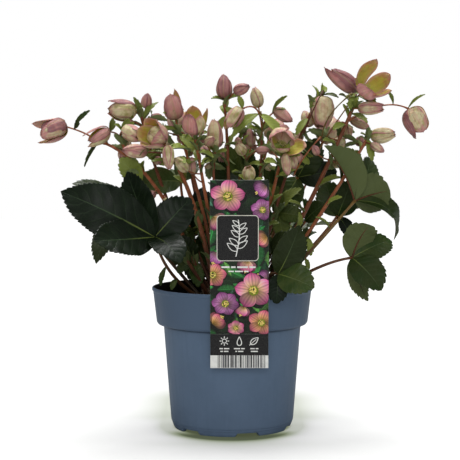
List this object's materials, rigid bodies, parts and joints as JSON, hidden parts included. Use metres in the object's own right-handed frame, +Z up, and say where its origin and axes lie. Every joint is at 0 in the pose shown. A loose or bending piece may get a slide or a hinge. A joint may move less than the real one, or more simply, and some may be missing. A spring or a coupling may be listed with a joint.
{
  "type": "hellebore plant in a nursery pot",
  "caption": "Flowering hellebore with divided leathery leaves and nodding cup flowers, rooted in a round tapered plastic pot with a picture label on its rim.",
  "frame": {"origin": "on the ground under the middle of the plant's width and depth, which is the axis of the pot", "axes": "+Z up, -Y towards the front, where the label hangs, +X to the right"},
  "size_m": [0.4702, 0.2919, 0.4341],
  "materials": {
    "pot_plastic": "satin slate blue-grey",
    "soil": "dark moist peat compost",
    "crown": "rough brown scale leaves",
    "label": "printed satin card",
    "clip": "white plastic",
    "stem": "smooth red-brown, waxy",
    "flower": "soft waxy dusty pink and cream-green",
    "leaf": "dark green with a leathery sheen"
  },
  "bodies": {
    "root": {"pot": "pot_plastic", "soil": "soil", "crown": "crown", "label_card": "label", "label_clip": "clip", "stem_01": "stem", "stem_02": "stem", "stem_03": "stem", "stem_04": "stem", "stem_05": "stem", "stem_06": "stem", "stem_07": "stem", "stem_08": "stem", "stem_09": "stem", "stem_10": "stem", "stem_11": "stem", "stem_12": "stem", "stem_13": "stem", "stem_14": "stem", "stem_15": "stem", "stem_16": "stem", "flower_01": "flower", "flower_02": "flower", "flower_03": "flower", "flower_04": "flower", "flower_05": "flower", "flower_06": "flower", "flower_07": "flower", "flower_08": "flower", "flower_09": "flower", "flower_10": "flower", "flower_11": "flower", "flower_12": "flower", "flower_13": "flower", "flower_14": "flower", "flower_15": "flower", "flower_16": "flower", "flower_17": "flower", "flower_18": "flower", "flower_19": "flower", "flower_20": "flower", "flower_21": "flower", "flower_22": "flower", "flower_23": "flower", "flower_24": "flower", "flower_25": "flower", "flower_26": "flower", "flower_27": "flower", "leaf_left_large": "leaf", "leaf_left_back": "leaf", "leaf_left_far": "leaf", "leaf_mid_left": "leaf", "leaf_right_upper": "leaf", "leaf_right_back": "leaf", "leaf_right_lower": "leaf", "leaf_front_right": "leaf", "leaf_right_mid": "leaf", "leaf_back_left": "leaf", "leaf_back_middle": "leaf", "leaf_back_right": "leaf"}
  },
  "joints": []
}
